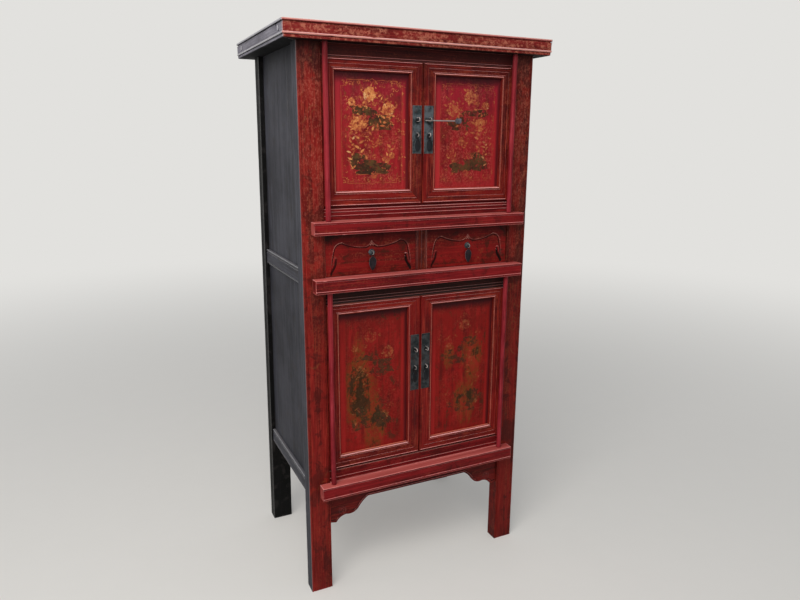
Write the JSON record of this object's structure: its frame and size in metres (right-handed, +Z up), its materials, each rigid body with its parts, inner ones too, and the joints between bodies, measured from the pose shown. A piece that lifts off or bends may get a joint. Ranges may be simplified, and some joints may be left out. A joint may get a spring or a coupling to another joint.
{
  "type": "cabinet on stand",
  "caption": "Tall lacquered wooden cabinet on four through legs, with leaf doors on round pivot poles above and below, drawers between, and a sliding pin lock.",
  "frame": {"origin": "on the floor, under the middle of the whole object", "axes": "+Z up, the doors face -Y, +X to the right of someone facing the doors"},
  "size_m": [0.94, 0.606, 1.9],
  "materials": {
    "red_lacquer": "worn red lacquer, satin",
    "black_lacquer": "dull charcoal lacquer",
    "plain_wood": "unfinished old softwood",
    "iron": "dark patinated sheet iron"
  },
  "bodies": {
    "carcass": {"post_front_left": "red_lacquer", "post_front_right": "red_lacquer", "cornice_front": "red_lacquer", "rail_upper": "red_lacquer", "rail_middle": "red_lacquer", "rail_bottom": "red_lacquer", "frieze_upper": "red_lacquer", "ledge_upper": "red_lacquer", "frieze_lower": "red_lacquer", "sill_lower": "red_lacquer", "drawer_divider": "red_lacquer", "stand_apron": "red_lacquer", "post_back_left": "black_lacquer", "post_back_right": "black_lacquer", "cornice_back": "black_lacquer", "cornice_left": "black_lacquer", "cornice_right": "black_lacquer", "side_panel_upper_left": "black_lacquer", "side_panel_upper_right": "black_lacquer", "side_panel_lower_left": "black_lacquer", "side_panel_lower_right": "black_lacquer", "side_rail_mid_left": "black_lacquer", "side_rail_mid_right": "black_lacquer", "side_rail_low_left": "black_lacquer", "side_rail_low_right": "black_lacquer", "cornice_board": "plain_wood", "back_boards": "plain_wood", "back_rails": "plain_wood", "floor_upper": "plain_wood", "drawer_bed": "plain_wood", "floor_lower": "plain_wood"},
    "upper_left_door": {"upper_left_frame": "red_lacquer", "upper_left_panel": "red_lacquer", "upper_left_pole": "red_lacquer", "upper_left_plate": "iron"},
    "upper_right_door": {"upper_right_frame": "red_lacquer", "upper_right_panel": "red_lacquer", "upper_right_pole": "red_lacquer", "upper_right_plate": "iron"},
    "lower_left_door": {"lower_left_frame": "red_lacquer", "lower_left_panel": "red_lacquer", "lower_left_pole": "red_lacquer", "lower_left_plate": "iron"},
    "lower_right_door": {"lower_right_frame": "red_lacquer", "lower_right_panel": "red_lacquer", "lower_right_pole": "red_lacquer", "lower_right_plate": "iron"},
    "left_drawer": {"drawer_left_front": "red_lacquer", "drawer_left_box": "plain_wood", "drawer_left_rosette": "iron"},
    "right_drawer": {"drawer_right_front": "red_lacquer", "drawer_right_box": "plain_wood", "drawer_right_rosette": "iron"},
    "pull_upper_left": {"upper_left_pull": "iron"},
    "pull_upper_right": {"upper_right_pull": "iron"},
    "pull_lower_left": {"lower_left_pull": "iron"},
    "pull_lower_right": {"lower_right_pull": "iron"},
    "pull_drawer_left": {"drawer_left_pull": "iron"},
    "pull_drawer_right": {"drawer_right_pull": "iron"},
    "sliding_pin": {"lock_pin": "iron"}
  },
  "joints": [
    {"name": "upper_left_door_hinge", "type": "hinge", "parent": "carcass", "child": "upper_left_door", "pos_m": [-0.3365, -0.2802, 1.584], "axis": [0, 0, -1], "range_deg": [0, 170]},
    {"name": "upper_right_door_hinge", "type": "hinge", "parent": "carcass", "child": "upper_right_door", "pos_m": [0.3365, -0.2802, 1.584], "axis": [0, 0, 1], "range_deg": [0, 170]},
    {"name": "lower_left_door_hinge", "type": "hinge", "parent": "carcass", "child": "lower_left_door", "pos_m": [-0.3365, -0.2802, 0.752], "axis": [0, 0, -1], "range_deg": [0, 170]},
    {"name": "lower_right_door_hinge", "type": "hinge", "parent": "carcass", "child": "lower_right_door", "pos_m": [0.3365, -0.2802, 0.752], "axis": [0, 0, 1], "range_deg": [0, 170]},
    {"name": "left_drawer_slide", "type": "slide", "parent": "carcass", "child": "left_drawer", "axis": [0, -1, 0], "range_m": [0, 0.28]},
    {"name": "right_drawer_slide", "type": "slide", "parent": "carcass", "child": "right_drawer", "axis": [0, -1, 0], "range_m": [0, 0.28]},
    {"name": "upper_left_pull_swing", "type": "hinge", "parent": "upper_left_door", "child": "pull_upper_left", "pos_m": [-0.0215, -0.2685, 1.5799], "axis": [-1, 0, 0], "range_deg": [0, 90]},
    {"name": "upper_right_pull_swing", "type": "hinge", "parent": "upper_right_door", "child": "pull_upper_right", "pos_m": [0.0215, -0.2685, 1.5799], "axis": [-1, 0, 0], "range_deg": [0, 90]},
    {"name": "lower_left_pull_swing", "type": "hinge", "parent": "lower_left_door", "child": "pull_lower_left", "pos_m": [-0.0215, -0.2685, 0.7839], "axis": [-1, 0, 0], "range_deg": [0, 90]},
    {"name": "lower_right_pull_swing", "type": "hinge", "parent": "lower_right_door", "child": "pull_lower_right", "pos_m": [0.0215, -0.2685, 0.7839], "axis": [-1, 0, 0], "range_deg": [0, 90]},
    {"name": "drawer_left_pull_swing", "type": "hinge", "parent": "left_drawer", "child": "pull_drawer_left", "pos_m": [-0.18225, -0.2685, 1.2054], "axis": [-1, 0, 0], "range_deg": [0, 90]},
    {"name": "drawer_right_pull_swing", "type": "hinge", "parent": "right_drawer", "child": "pull_drawer_right", "pos_m": [0.18225, -0.2685, 1.2054], "axis": [-1, 0, 0], "range_deg": [0, 90]},
    {"name": "sliding_pin_slide", "type": "slide", "parent": "upper_right_door", "child": "sliding_pin", "axis": [1, 0, 0], "range_m": [-0.072, 0]}
  ]
}
